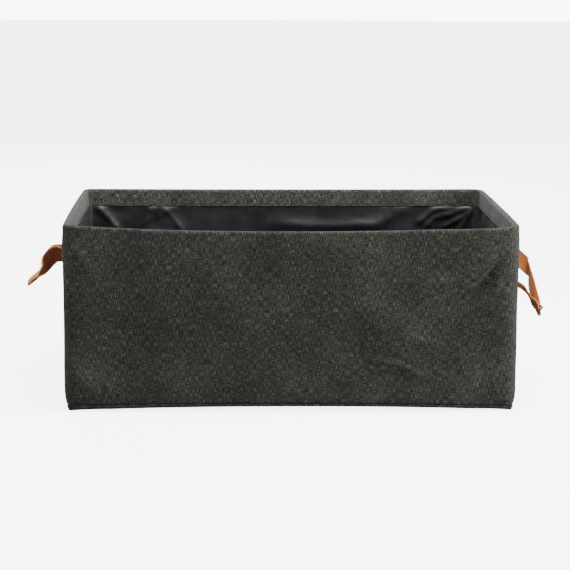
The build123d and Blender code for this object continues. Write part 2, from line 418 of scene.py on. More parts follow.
@dataclass(frozen=True)
class Finishes:
    """Every finish of the bin, built once."""

    linen: bpy.types.Material
    facing_linen: bpy.types.Material
    base_linen: bpy.types.Material
    satin: bpy.types.Material
    tan: bpy.types.Material
    brown: bpy.types.Material
    rubbed_brown: bpy.types.Material
    strap_edge: bpy.types.Material
    thread: bpy.types.Material
    tan_thread: bpy.types.Material
    wire: bpy.types.Material
    sleeve: bpy.types.Material
    plastic: bpy.types.Material
    card: bpy.types.Material
    rivet: bpy.types.Material
    webbing: bpy.types.Material

    @classmethod
    def build(cls) -> "Finishes":
        """Build the materials.

        Returns:
            The set of materials that the pieces share.
        """
        return cls(
            linen=Linen("charcoal_linen", (0.0050, 0.0048, 0.0037), (0.0150, 0.0146, 0.0118),
                        (0.108, 0.105, 0.086)).material(),
            # painted light: the hem facing is the same cloth as the outside walls, given a copy about
            # 1.4 to 1.5 times lighter because more light falls on it
            facing_linen=Linen("facing_linen", (0.0075, 0.0072, 0.0056), (0.0225, 0.0218, 0.0175),
                               (0.150, 0.146, 0.122)).material(),
            base_linen=Linen("base_linen", (0.0055, 0.0055, 0.0045), (0.018, 0.0178, 0.0150),
                             (0.095, 0.093, 0.080)).material(),
            satin=Satin("dark_satin").material(),
            tan=Leather("tan_leather", (0.60, 0.205, 0.062), (0.70, 0.29, 0.115)).material(),
            # painted shade and light: the strap's back-side leather comes as a dark copy for the left
            # strap, which stands in shade, and a lighter copy for the right strap, which the light
            # reaches
            brown=Leather("brown_leather_back", (0.080, 0.019, 0.006),
                          (0.150, 0.042, 0.016), 0.75, 0.08).material(),
            rubbed_brown=Leather("rubbed_leather_back", (0.44, 0.165, 0.088),
                                 (0.54, 0.225, 0.125), 0.62, 0.15).material(),
            strap_edge=Leather("strap_edge_paint", (0.42, 0.15, 0.052),
                               (0.52, 0.20, 0.075), 0.55, 0.2).material(),
            thread=Plain("dark_thread", (0.012, 0.012, 0.011), (0.03, 0.03, 0.028),
                         Grain.MOULDED, roughness=0.7).material(),
            tan_thread=Plain("tan_thread", (0.42, 0.19, 0.08), (0.6, 0.32, 0.15),
                             Grain.MOULDED, roughness=0.65).material(),
            wire=Plain("drawn_wire", (0.42, 0.42, 0.41), (0.62, 0.62, 0.60), Grain.DRAWN,
                       1.0, 0.34).material(),
            sleeve=Plain("crimped_steel", (0.34, 0.34, 0.33), (0.55, 0.55, 0.53), Grain.UPRIGHT,
                         1.0, 0.42).material(),
            plastic=Plain("black_plastic", (0.012, 0.012, 0.013), (0.022, 0.022, 0.024),
                          Grain.MOULDED, 0.0, 0.5).material(),
            card=Plain("grey_card", (0.30, 0.25, 0.19), (0.44, 0.38, 0.30), Grain.PRESSED,
                       0.0, 0.85, 0.0002).material(),
            rivet=Plain("antique_brass", (0.33, 0.22, 0.10), (0.55, 0.40, 0.20), Grain.PRESSED,
                        1.0, 0.32).material(),
            webbing=Plain("black_webbing", (0.010, 0.010, 0.010), (0.035, 0.034, 0.032),
                          Grain.RIBBED, 0.0, 0.85, 0.0004).material(),
        )


# --- the shape that the cloth parts share ---------------------------------------------------
class Wall(Enum):
    """The four walls, in the order in which the outline runs round the bin."""

    FRONT = 0
    RIGHT = 1
    BACK = 2
    LEFT = 3


@dataclass(frozen=True)
class Fold:
    """One crease or soft ridge on a wall, as a broken line in the wall's own millimetres.

    Positions are (along the wall, above the floor). Along is x on the front and back walls
    and y on the end walls. A positive rise stands out of the bin."""

    wall: Wall
    line: tuple[tuple[float, float], ...]
    rise: float
    width: float
    taper: float = 0.35
    crisp: float = 1.5

    def relief(self, wall: np.ndarray, along: np.ndarray, height: np.ndarray) -> np.ndarray:
        """How far the fold moves each point of a grid.

        Args:
            wall: Each column's wall number.
            along: Each point's place along its wall, in mm.
            height: Each point's height, in mm.

        Returns:
            The relief at each point, in mm.
        """
        best = np.full(height.shape, 1e9)
        where = np.zeros(height.shape)
        lengths = [math.dist(a, b) for a, b in zip(self.line, self.line[1:])]
        total, done = sum(lengths), 0.0
        for (ax, az), (bx, bz), length in zip(self.line, self.line[1:], lengths):
            share = ((along - ax) * (bx - ax) + (height - az) * (bz - az)) / length**2
            share = np.clip(share, 0.0, 1.0)
            away = np.hypot(along - ax - share * (bx - ax), height - az - share * (bz - az))
            nearer = away < best
            best = np.where(nearer, away, best)
            where = np.where(nearer, (done + share * length) / total, where)
            done += length
        ends = smooth_step(where, 0.0, self.taper) * (1.0 - smooth_step(where, 1 - self.taper, 1.0))
        shape = np.exp(-np.power(best / self.width, self.crisp)) * (0.25 + 0.75 * ends)
        return np.where(wall == self.wall.value, self.rise * shape, 0.0)


@dataclass
class Outline:
    """The walls' plan as columns of points that run anticlockwise round the bin.

    The four corners may have different radii, in the order front right, back right, back left,
    front left, in mm."""

    half_x: float = 300.0
    half_y: float = 200.0
    radii: tuple[float, float, float, float] = (17.0, 20.0, 14.0, 16.0)
    spacing: float = 4.0
    corner_columns: int = 9
    anchor: np.ndarray = field(init=False)
    normal: np.ndarray = field(init=False)
    wall: np.ndarray = field(init=False)
    corner: np.ndarray = field(init=False)
    length: np.ndarray = field(init=False)

    def __post_init__(self) -> None:
        """Lay out the columns: each wall, then the corner after it."""
        right, back = self.half_x, self.half_y
        places, normals, walls, corners = [], [], [], []
        hubs = [(right, -back), (right, back), (-right, back), (-right, -back)]
        for number in range(4):
            before, after = self.radii[number - 1], self.radii[number]
            start, end = np.array(hubs[number - 1]), np.array(hubs[number])
            way = (end - start) / np.linalg.norm(end - start)
            out = np.array([way[1], -way[0]])
            start, end = start + way * before, end - way * after
            count = round(np.linalg.norm(end - start) / self.spacing)
            for share in np.arange(count) / count:
                places.append(start + share * (end - start))
                normals.append(out)
                walls.append(number)
                corners.append(False)
            centre = end - out * after
            for step in range(self.corner_columns):
                turn = math.pi / 2 * step / self.corner_columns
                side = out * math.cos(turn) + way * math.sin(turn)
                places.append(centre + side * after)
                normals.append(side)
                walls.append(number if step < self.corner_columns / 2 else (number + 1) % 4)
                corners.append(True)
        self.anchor, self.normal = np.array(places), np.array(normals)
        self.wall, self.corner = np.array(walls), np.array(corners)
        steps = np.linalg.norm(np.roll(self.anchor, -1, axis=0) - self.anchor, axis=1)
        self.length = np.concatenate([[0.0], np.cumsum(steps)])

    @property
    def along(self) -> np.ndarray:
        """Each column's place along its wall, in mm: x on the long walls, y on the end walls."""
        long_wall = np.isin(self.wall, (Wall.FRONT.value, Wall.BACK.value))
        return np.where(long_wall, self.anchor[:, 0], self.anchor[:, 1])

    @property
    def span(self) -> np.ndarray:
        """Each column's place along its wall, from -1 at one corner to 1 at the other."""
        long_wall = np.isin(self.wall, (Wall.FRONT.value, Wall.BACK.value))
        return self.along / np.where(long_wall, self.half_x, self.half_y)

    def per_wall(self, front: float, right: float, back: float, left: float) -> np.ndarray:
        """A value for each column, from one value for each wall."""
        return np.array([front, right, back, left])[self.wall]

    def near_corner(self, reach: float) -> np.ndarray:
        """1 at the corners, easing to 0 at a distance of reach mm from them."""
        long_wall = np.isin(self.wall, (Wall.FRONT.value, Wall.BACK.value))
        gap = np.where(long_wall, self.half_x, self.half_y) - np.abs(self.along)
        return 1.0 - smooth_step(gap, reach * 0.5, reach)


@dataclass
class BinShape:
    """The bin's overall form: how its soft walls bow, sag and lift, in mm."""

    outline: Outline = field(default_factory=Outline)
    height: float = 250.0
    front_sag: float = 6.8
    back_sag: float = 2.0
    front_bow: float = 12.0
    back_bow: float = 10.0
    end_bow: float = 1.5
    front_lift: float = 6.8
    back_lift: float = 5.5
    end_lift: float = 2.5
    roll_radius: float = 3.7
    hem: float = 25.0
    corner_tuck: float = 3.2
    tuck_height: float = 26.0
    tuck_reach: float = 70.0
    outer_layer: float = 5.0

    def swell(self) -> np.ndarray:
        """How much each column takes part in a wall's bow or sag: 0 at corners, 1 in the middle."""
        return 1.0 - np.power(np.abs(self.outline.span), 2.3)

    def rim(self) -> np.ndarray:
        """The height of the rim's top at each column."""
        sag = self.outline.per_wall(self.front_sag, 0.8, self.back_sag, 0.8)
        right_dip = np.where(
            self.outline.wall == Wall.FRONT.value,
            2.0 * smooth_step(self.outline.span, 0.55, 0.9)
            * (1 - smooth_step(self.outline.span, 0.93, 1.0)), 0.0
        )
        return self.height - sag * self.swell() - right_dip

    def seam(self) -> np.ndarray:
        """The height of the seam between the walls and the base at each column."""
        tilt = np.where(self.outline.wall == Wall.FRONT.value, -1.0 * self.outline.span, 0.0)
        return 8.3 + tilt + 0.5 * self.edge_lift()

    def lift(self, plan: np.ndarray) -> np.ndarray:
        """How far the base bows up off the floor between the corners.

        Args:
            plan: Points x 2, in mm.

        Returns:
            The lift at each point, in mm.
        """
        x, y = plan[..., 0], plan[..., 1]
        across = np.clip(1.0 - (x / self.outline.half_x) ** 2, 0.0, 1.0) ** 0.8
        deep = np.clip(1.0 - (y / self.outline.half_y) ** 2, 0.0, 1.0)
        front = self.front_lift * across * np.exp(-(((y + self.outline.half_y) / 85.0) ** 2))
        back = self.back_lift * across * np.exp(-(((y - self.outline.half_y) / 85.0) ** 2))
        ends = self.end_lift * deep * np.exp(-(((self.outline.half_x - np.abs(x)) / 70.0) ** 2))
        return front + back + ends

    def edge_lift(self) -> np.ndarray:
        """The base's lift under each column of the walls."""
        return self.lift(self.outline.anchor)

    def place(self, inset: np.ndarray, height: np.ndarray) -> np.ndarray:
        """Points on the walls.

        Args:
            inset: Rows x columns, the distance inside the outer face, in mm.
            height: Rows x columns, the height above the floor, in mm.

        Returns:
            Rows x columns x 3, in metres.
        """
        line = self.outline
        bow = line.per_wall(self.front_bow, self.end_bow, self.back_bow, self.end_bow)
        rise = np.clip(height / self.height, 0.0, 1.0)
        belly = 1.0 + 0.35 * np.sin(math.pi * rise)
        out = (bow * self.swell()) * rise * belly / 1.0 + 0.6 * self.swell()
        flat = np.array([[0, -1], [1, 0], [0, 1], [-1, 0]])[line.wall]
        facing = np.abs(line.normal).max(axis=1) ** 4 * (line.anchor[:, 1] < 0)
        tuck = self.corner_tuck * line.near_corner(self.tuck_reach) * facing
        low = 1.0 - smooth_step(height, 0.0, self.tuck_height)
        inset = inset + tuck[None] * low * (inset < self.outer_layer)
        plan = (
            line.anchor[None] - line.normal[None] * inset[..., None]
            + flat[None] * out[..., None]
        )
        return np.concatenate([plan, height[..., None]], axis=-1) * MM


class Ripples:
    """Soft unevenness of cloth: a fixed set of random waves, the same at every run."""

    def __init__(self, seed: int, count: int, longest: float, shortest: float,
                 upright: float = 1.0) -> None:
        """Choose the waves.

        Args:
            seed: The random seed.
            count: How many waves there are.
            longest: The longest wavelength, in mm.
            shortest: The shortest wavelength, in mm.
            upright: Above 1, the waves run more along the wall, which makes upright folds.
        """
        rng = np.random.default_rng(seed)
        size = 2 * math.pi / np.exp(rng.uniform(math.log(shortest), math.log(longest), count))
        turn = rng.normal(size=(count, 3))
        turn[:, 2] /= upright
        turn /= np.linalg.norm(turn, axis=1)[:, None]
        self.waves = turn * size[:, None]
        self.phases = rng.uniform(0, 2 * math.pi, count)
        self.weights = 1.0 / size
        self.weights /= np.sqrt((self.weights**2).sum() / 2)

    def at(self, points: np.ndarray) -> np.ndarray:
        """The waves' sum at points in metres, with a standard deviation of about 1."""
        total = np.zeros(points.shape[:-1])
        for wave, phase, weight in zip(self.waves, self.phases, self.weights):
            total += weight * np.cos((points / MM) @ wave + phase)
        return total

    def creased(self, points: np.ndarray, bend: float) -> np.ndarray:
        """Like at, but with flat facets and sharp creases, as crumpled thin cloth has.

        Args:
            points: Points in metres.
            bend: How far the creases wander from straight lines, in mm.

        Returns:
            The height at each point, with a standard deviation of about 1.
        """
        drift = np.stack([np.sin(points[..., (axis + 1) % 3] / MM / 31.0 + 1.7 * axis)
                          + np.sin(points[..., (axis + 2) % 3] / MM / 17.0 + 0.9 * axis)
                          for axis in range(3)], axis=-1)
        places = points / MM + bend * drift
        total = np.zeros(points.shape[:-1])
        for wave, phase, weight in zip(self.waves, self.phases, self.weights):
            total += weight * np.arcsin(np.cos(places @ wave + phase)) * 0.9
        return total


# --- cloth parts --------------------------------------------------------------------------
WALL_FOLDS = (
    Fold(Wall.FRONT, ((291, 238), (275, 214), (243, 181), (206, 155)), 6.1, 4.2),
    Fold(Wall.FRONT, ((289, 204), (262, 152), (232, 126)), 5.2, 4.5),
    Fold(Wall.FRONT, ((284, 222), (262, 190), (236, 150), (222, 140)), -4.9, 6.5),
    Fold(Wall.FRONT, ((293, 178), (278, 150), (252, 118)), 4.6, 5.0),
    Fold(Wall.FRONT, ((292, 140), (276, 118), (262, 96)), 3.8, 5.5),
    Fold(Wall.FRONT, ((240, 196), (212, 176), (180, 168)), 2.6, 6.0),
    Fold(Wall.FRONT, ((98, 74), (135, 65), (150, 61), (184, 44)), 2.9, 3.0),
    Fold(Wall.FRONT, ((150, 104), (196, 86)), 2.3, 4.5),
    Fold(Wall.FRONT, ((214, 92), (226, 70), (222, 40)), 2.3, 5.5),
    Fold(Wall.FRONT, ((-124, 141), (-111, 148)), 1.6, 3.0),
    Fold(Wall.FRONT, ((-291, 232), (-270, 196), (-252, 178)), 1.8, 5.5),
    Fold(Wall.FRONT, ((-290, 60), (-262, 34)), 1.8, 6.0),
    Fold(Wall.FRONT, ((284, 66), (262, 30)), 2.0, 6.0),
    Fold(Wall.RIGHT, ((-186, 232), (-150, 190), (-118, 172)), 3.0, 5.5),
    Fold(Wall.RIGHT, ((184, 226), (152, 176)), 2.6, 6.0),
    Fold(Wall.RIGHT, ((-62, 168), (-20, 120)), 1.8, 7.0),
    Fold(Wall.LEFT, ((-184, 226), (-150, 182), (-120, 168)), 2.8, 5.5),
    Fold(Wall.LEFT, ((182, 232), (150, 196)), 2.6, 6.0),
    Fold(Wall.LEFT, ((60, 164), (24, 118)), 1.8, 7.0),
    Fold(Wall.BACK, ((288, 232), (256, 186), (226, 166)), 3.4, 5.0),
    Fold(Wall.BACK, ((-288, 228), (-250, 178), (-220, 160)), 3.2, 5.0),
    Fold(Wall.BACK, ((-40, 96), (36, 70)), 1.8, 4.5),
)


@dataclass
class OuterCloth:
    """The linen-look cloth: one sheet up the outside, over the rim wire and down inside."""

    shape: BinShape
    thickness: float = 0.0009
    wall_rows: int = 62
    roll_rows: int = 10
    hem_rows: int = 9
    ripple: float = 0.85

    def profile(self) -> tuple[np.ndarray, np.ndarray]:
        """Insets and heights of the sheet, from its bottom edge to the foot of the hem.

        Returns:
            Two arrays of rows x columns, in mm.
        """
        shape, line = self.shape, self.shape.outline
        radius = shape.roll_radius
        seam, rim = shape.seam(), shape.rim()
        columns = len(line.wall)
        insets, heights = [], []
        for turn in np.linspace(-70, 0, 5):
            insets.append(np.full(columns, 2.2 - 2.2 * math.cos(math.radians(turn))))
            heights.append(seam + 2.6 + 2.6 * math.sin(math.radians(turn)))
        for share in np.linspace(0, 1, self.wall_rows + 1)[1:]:
            insets.append(np.zeros(columns))
            heights.append(seam + 2.6 + share * (rim - radius - seam - 2.6))
        for turn in np.linspace(0, math.pi, self.roll_rows + 1)[1:]:
            insets.append(np.full(columns, radius - radius * math.cos(turn)))
            heights.append(rim - radius + radius * math.sin(turn))
        for share in np.linspace(0, 1, self.hem_rows + 1)[1:]:
            insets.append(np.full(columns, 2 * radius + 1.1 * share))
            heights.append(rim - radius - share * (shape.hem - radius))
        for inset, rise in ((0.55, -0.7), (1.1, 0.1), (1.0, 1.6)):
            insets.append(np.full(columns, 2 * radius + 1.1 - 1.1 + inset))
            heights.append(rim - shape.hem + rise)
        return np.array(insets), np.array(heights)

    def relief(self, inset: np.ndarray, height: np.ndarray) -> np.ndarray:
        """How far the cloth stands out of its even shape, in mm, outwards on both sides."""
        line, shape = self.shape.outline, self.shape
        flat = shape.place(inset, height)
        outside = inset < 1.0
        soft = Ripples(11, 26, 190.0, 55.0, 1.5).at(flat) * self.ripple
        fine = Ripples(12, 40, 52.0, 16.0, 1.2).at(flat) * 0.16
        free = 1.0 - 0.6 * line.near_corner(34.0)[None]
        held = smooth_step(height, 8.0, 40.0) * (1.0 - smooth_step(height, 222.0, 243.0))
        total = (soft * held + fine * (0.3 + 0.7 * held)) * free
        along = np.broadcast_to(line.along[None], height.shape)
        wall = np.broadcast_to(line.wall[None], height.shape)
        for fold in WALL_FOLDS:
            total = total + fold.relief(wall, along, height)
        band = Ripples(13, 24, 70.0, 18.0, 2.2).at(flat) * 0.42
        inner = inset > 2 * shape.roll_radius - 0.5
        roll = Ripples(14, 20, 44.0, 14.0).at(flat) * 0.14
        return np.where(outside, total, np.where(inner, -np.abs(band) - 0.1, roll))

    def build(self, finishes: Finishes) -> bpy.types.Object:
        """Make the sheet and dress it.

        Args:
            finishes: The bin's finishes.

        Returns:
            The piece.
        """
        inset, height = self.profile()
        points = self.shape.place(inset - self.relief(inset, height), height)
        steps = np.hypot(np.diff(inset, axis=0), np.diff(height, axis=0)).mean(axis=1)
        up = np.concatenate([[0.0], np.cumsum(steps)])
        along = np.broadcast_to(self.shape.outline.length[None], (len(up), inset.shape[1] + 1))
        uv = np.stack([along, np.broadcast_to(up[:, None], along.shape)], axis=-1) * MM
        piece = grid_object("outer_cloth", points, uv, closed=True)
        thicken(piece, self.thickness)
        # painted light: the inner half of the roll and the hem facing get the lighter copy of the wall
        # cloth, the outside gets the darker one
        dress(piece, finishes.linen, finishes.facing_linen)
        turned = 5 + self.wall_rows + self.roll_rows // 2
        faces = len(piece.data.polygons)
        outside = turned * inset.shape[1]
        piece.data.polygons.foreach_set("material_index", [0] * outside + [1] * (faces - outside))
        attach(piece, "bin")
        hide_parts(*(f"{wall}_panel" for wall in ("front", "back", "left", "right")),
                    *(f"{wall}_facing" for wall in ("front", "back", "left", "right")))
        return piece

    def stitches(self, finishes: Finishes) -> bpy.types.Object:
        """Make the row of thread stitches that holds the foot of the hem."""
        line, shape = self.shape.outline, self.shape
        height = (shape.rim() - shape.hem + 2.6)[None]
        inset = np.full_like(height, 2 * shape.roll_radius + 1.0)
        relief = self.relief(inset, height)
        path = shape.place(inset - relief + 0.35, height)[0]
        out = -line.normal
        return stitch_row("hem_stitches", path, out, finishes.thread, 3.3, 0.9, 0.30)


def stitch_row(name: str, path: np.ndarray, out: np.ndarray, material: bpy.types.Material,
               length: float, gap: float, radius: float) -> bpy.types.Object:
    """Make thread stitches along a closed path.

    Args:
        name: The piece's name.
        path: Points x 3, in metres, round the bin.
        out: Points x 2, the plan direction in which each stitch stands out.
        material: The thread's material.
        length: One stitch's length, in mm.
        gap: The gap between two stitches, in mm.
        radius: The thread's radius, in mm.

    Returns:
        The piece, riding on the bin.
    """
    around = np.vstack([path, path[:1]])
    faced = np.vstack([out, out[:1]])
    travel = np.concatenate([[0.0], np.cumsum(np.linalg.norm(np.diff(around, axis=0), axis=1))])
    count = int(travel[-1] / ((length + gap) * MM))
    starts = np.arange(count) * travel[-1] / count
    points, faces = [], []
    rings, sides = 5, 6
    for start in starts:
        base = len(points)
        for ring in range(rings):
            share = ring / (rings - 1)
            at = start + share * length * MM
            centre = np.array([np.interp(at, travel, around[:, axis]) for axis in range(3)])
            outward = np.array([np.interp(at, travel, faced[:, axis]) for axis in range(2)] + [0.0])
            outward /= np.linalg.norm(outward)
            swell = math.sin(math.pi * (0.12 + 0.76 * share))
            centre = centre + outward * radius * MM * (swell - 0.7)
            for side in range(sides):
                turn = 2 * math.pi * side / sides
                across = outward * math.cos(turn) + np.array([0, 0, 1.0]) * math.sin(turn)
                points.append(centre + across * radius * MM * (0.35 + 0.65 * swell))
        for ring in range(rings - 1):
            for side in range(sides):
                after = (side + 1) % sides
                low, high = base + ring * sides, base + (ring + 1) * sides
                faces.append((low + side, low + after, high + after, high + side))
        faces.append(tuple(base + side for side in reversed(range(sides))))
        faces.append(tuple(base + (rings - 1) * sides + side for side in range(sides)))
    piece = loose_object(name, np.array(points), faces)
    dress(piece, material)
    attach(piece, "bin")
    return piece


LINING_FOLDS = (
    Fold(Wall.BACK, ((-282, 226), (-262, 206), (-250, 190)), 5.0, 5.0, 0.1, 1.1),
    Fold(Wall.BACK, ((-214, 190), (-200, 208), (-192, 225)), 2.8, 3.0, 0.1, 1.1),
    Fold(Wall.BACK, ((-222, 186), (-206, 204), (-200, 225)), 3.1, 3.0, 0.1, 1.1),
    Fold(Wall.BACK, ((-150, 184), (-172, 212), (-186, 224)), 2.8, 3.4, 0.1, 1.1),
    Fold(Wall.BACK, ((-160, 222), (-176, 216), (-190, 206)), 2.2, 3.4, 0.1, 1.1),
    Fold(Wall.BACK, ((-20, 198), (60, 193), (140, 196), (182, 221)), 5.0, 9.0, 0.25),
    Fold(Wall.BACK, ((150, 226), (152, 214), (150, 206)), 1.0, 2.6, 0.3, 1.1),
    Fold(Wall.BACK, ((198, 196), (226, 218), (262, 227)), 4.2, 3.6, 0.1, 1.0),
    Fold(Wall.BACK, ((212, 190), (226, 206), (250, 212), (282, 224)), 3.9, 3.6, 0.1, 1.0),
    Fold(Wall.BACK, ((240, 192), (262, 204), (280, 216)), 4.4, 3.4, 0.1, 1.0),
    Fold(Wall.BACK, ((262, 186), (276, 206), (288, 222)), 3.9, 3.4, 0.1, 1.0),
    Fold(Wall.BACK, ((160, 150), (90, 120), (10, 132)), 3.0, 8.0, 0.3, 1.2),
    Fold(Wall.BACK, ((-210, 120), (-140, 92), (-60, 104)), 3.0, 8.0, 0.3, 1.2),
    Fold(Wall.LEFT, ((184, 224), (160, 196), (152, 170)), 3.4, 4.0, 0.2, 1.1),
    Fold(Wall.LEFT, ((128, 224), (116, 190)), 2.6, 4.0, 0.3, 1.1),
    Fold(Wall.LEFT, ((86, 225), (70, 196), (76, 176)), 2.6, 4.0, 0.3, 1.1),
    Fold(Wall.LEFT, ((40, 224), (10, 180), (-30, 168)), 2.8, 5.0, 0.3, 1.1),
    Fold(Wall.LEFT, ((-60, 224), (-84, 196)), 2.6, 4.0, 0.3, 1.1),
    Fold(Wall.RIGHT, ((184, 224), (160, 190), (150, 160)), 3.4, 4.0, 0.2, 1.1),
    Fold(Wall.RIGHT, ((120, 224), (104, 196)), 2.8, 4.0, 0.3, 1.1),
    Fold(Wall.RIGHT, ((40, 224), (0, 176), (-40, 168)), 3.0, 5.0, 0.3, 1.1),
    Fold(Wall.FRONT, ((-200, 222), (-150, 190), (-90, 196)), 3.0, 6.0, 0.3, 1.1),
    Fold(Wall.FRONT, ((60, 222), (120, 184), (200, 196)), 3.2, 6.0, 0.3, 1.1),
    Fold(Wall.FRONT, ((-60, 110), (40, 92), (130, 118)), 3.0, 8.0, 0.3, 1.1),
)


@dataclass
class Lining:
    """The loose shiny lining: a ring from behind the hem down to the floor."""

    shape: BinShape
    thickness: float = 0.00028
    spacing: float = 3.0
    rows: int = 68
    foot: float = 2.4
    inset_top: float = 8.9
    inset_foot: float = 9.4

    def build(self, finishes: Finishes) -> bpy.types.Object:
        """Make the lining and dress it.

        Args:
            finishes: The bin's finishes.

        Returns:
            The piece.
        """
        shape = BinShape(Outline(spacing=self.spacing))
        line = shape.outline
        top = shape.rim() - shape.hem
        columns = len(line.wall)
        heights = [top + 5.0, top + 2.0]
        insets = [np.full(columns, 2 * shape.roll_radius - 0.6)] * 2
        for share in np.linspace(0, 1, self.rows):
            heights.append(top - 0.4 - share * (top - 0.4 - self.foot - shape.edge_lift()))
            insets.append(np.full(columns, self.inset_top + share * (self.inset_foot - self.inset_top)))
        height, inset = np.array(heights), np.array(insets)
        flat = shape.place(inset, height)
        depth = (top[None] - height)
        free = smooth_step(depth, 1.0, 46.0) * smooth_step(height, 6.0, 40.0)
        sway = Ripples(21, 30, 150.0, 48.0, 1.8).at(flat)
        folds = Ripples(22, 9, 130.0, 46.0, 1.3).creased(flat, 7.0)
        crumple = Ripples(23, 14, 44.0, 17.0, 1.0).creased(flat, 4.0)
        middle = 1.0 - 0.6 * smooth_step(np.abs(line.span), 0.75, 0.45)[None]
        relief = (sway * 1.1 + folds * 1.5) * free * middle
        relief = relief + crumple * 0.36 * middle * smooth_step(depth, 0.5, 12.0)
        along = np.broadcast_to(line.along[None], height.shape)
        wall = np.broadcast_to(line.wall[None], height.shape)
        for fold in LINING_FOLDS:
            relief = relief + fold.relief(wall, along, height) * smooth_step(depth, -1.0, 5.0)
        relief = np.where(depth > 0, relief * (1.0 - 0.5 * line.near_corner(20.0)[None]), 0.0)
        relief = np.maximum(relief + 1.6 * free, -0.5) * smooth_step(height, 3.0, 16.0)
        points = shape.place(inset + relief, height)
        steps = np.abs(np.diff(height, axis=0)).mean(axis=1)
        down = np.concatenate([[0.0], np.cumsum(steps)])
        around = np.broadcast_to(line.length[None], (len(down), columns + 1))
        uv = np.stack([around, np.broadcast_to(-down[:, None], around.shape)], axis=-1) * MM
        piece = grid_object("lining_cloth", points, uv, closed=True)
        thicken(piece, self.thickness)
        dress(piece, finishes.satin)
        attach(piece, "bin")
        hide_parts(*(f"{wall}_lining" for wall in ("front", "back", "left", "right")))
        return piece


def medial_rows(line: Outline, shares: Sequence[float], inset: float) -> list[np.ndarray]:
    """Plan points that shrink from an outline to a line along the middle of it.

    Args:
        line: The outline.
        shares: 0 at the outline's edge and 1 on the middle line.
        inset: How far inside the outline the edge is, in mm.

    Returns:
        One array of points x 2 for each share.
    """
    edge = line.anchor - line.normal * inset
    reach = line.half_x - line.half_y
    middle = np.stack([np.clip(edge[:, 0], -reach, reach), np.zeros(len(edge))], axis=1)
    middle[:, 0] = np.round(middle[:, 0] / line.spacing) * line.spacing
    return [edge + share * (middle - edge) for share in shares]


def weld(piece: bpy.types.Object, distance: float = 0.00001) -> None:
    """Join points that lie on each other and drop the faces that have no area."""
    import bmesh

    mesh = bmesh.new()
    mesh.from_mesh(piece.data)
    bmesh.ops.remove_doubles(mesh, verts=mesh.verts, dist=distance)
    bmesh.ops.dissolve_degenerate(mesh, edges=mesh.edges, dist=distance)
    mesh.to_mesh(piece.data)
    mesh.free()
    piece.data.update()


@dataclass
class BaseCloth:
    """The bin's underside: a flat cloth panel whose rim turns up to meet the walls."""

    shape: BinShape
    thickness: float = 0.0009
    edge_radius: float = 4.0

    def build(self, finishes: Finishes) -> list[bpy.types.Object]:
        """Make the underside and the floor lining above it.

        Args:
            finishes: The bin's finishes.

        Returns:
            The two pieces.
        """
        shape, line = self.shape, self.shape.outline
        seam, lift = shape.seam(), shape.edge_lift()
        columns = len(line.wall)
        rise = np.clip((seam - 2.0 - lift) * 0.8, 1.2, self.edge_radius)
        insets, heights = [], []
        for turn in np.linspace(70, 0, 4):
            insets.append(np.full(columns, 1.7 - 1.2 * math.cos(math.radians(turn))))
            heights.append(seam - 1.6 + 1.3 * math.sin(math.radians(turn)))
        for turn in np.linspace(0, 90, 8):
            angle = math.radians(turn)
            insets.append(0.5 + rise - rise * math.cos(angle))
            heights.append(0.5 + lift + rise * (1.0 - math.sin(angle)))
        inset, height = np.array(insets), np.array(heights)
        points = list(shape.place(inset, height))
        for plan in medial_rows(line, np.linspace(0.06, 1.0, 24), 0.5 + self.edge_radius):
            ripple = Ripples(31, 24, 160.0, 40.0).at(np.pad(plan * MM, ((0, 0), (0, 1))))
            level = 0.5 + shape.lift(plan) + np.clip(ripple, 0, 3) * 0.12
            points.append(np.concatenate([plan, level[:, None]], axis=1) * MM)
        points = np.array(points)
        uv_points = np.concatenate([points, points[:, :1]], axis=1)
        piece = grid_object("base_cloth", points, uv_points[..., :2].copy(), closed=True)
        self.lip_threads(piece)
        weld(piece)
        thicken(piece, self.thickness, offset=1.0)
        dress(piece, finishes.base_linen)
        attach(piece, "bin")
        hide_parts("bottom_panel")
        return [piece, self.floor(finishes)]

    def lip_threads(self, piece: bpy.types.Object) -> None:
        """Let the weave of the turned-up lip run level with the floor, not squeezed."""
        layer = piece.data.uv_layers["cloth"]
        for loop in piece.data.loops:
            place = piece.data.vertices[loop.vertex_index].co
            across = abs(place.y) > 0.19
            away = place.z if across else 0.0
            side = 0.0 if across else place.z
            layer.data[loop.index].uv = (place.x + side, place.y - away)

    def floor(self, finishes: Finishes) -> bpy.types.Object:
        """Make the lining's floor, which the board lies on."""
        line = self.shape.outline
        rows = []
        for plan in medial_rows(line, np.linspace(0.0, 1.0, 30), 9.2):
            ripple = Ripples(32, 30, 120.0, 24.0).at(np.pad(plan * MM, ((0, 0), (0, 1))))
            level = 1.9 + self.shape.lift(plan) + np.clip(ripple, -1.5, 1.5) * 0.15
            rows.append(np.concatenate([plan, level[:, None]], axis=1) * MM)
        points = np.array(rows)
        uv_points = np.concatenate([points, points[:, :1]], axis=1)
        piece = grid_object("floor_lining_cloth", points, uv_points[..., :2].copy(), closed=True)
        weld(piece)
        thicken(piece, 0.00028, offset=1.0)
        dress(piece, finishes.satin)
        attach(piece, "bin")
        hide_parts("floor_lining")
        return piece


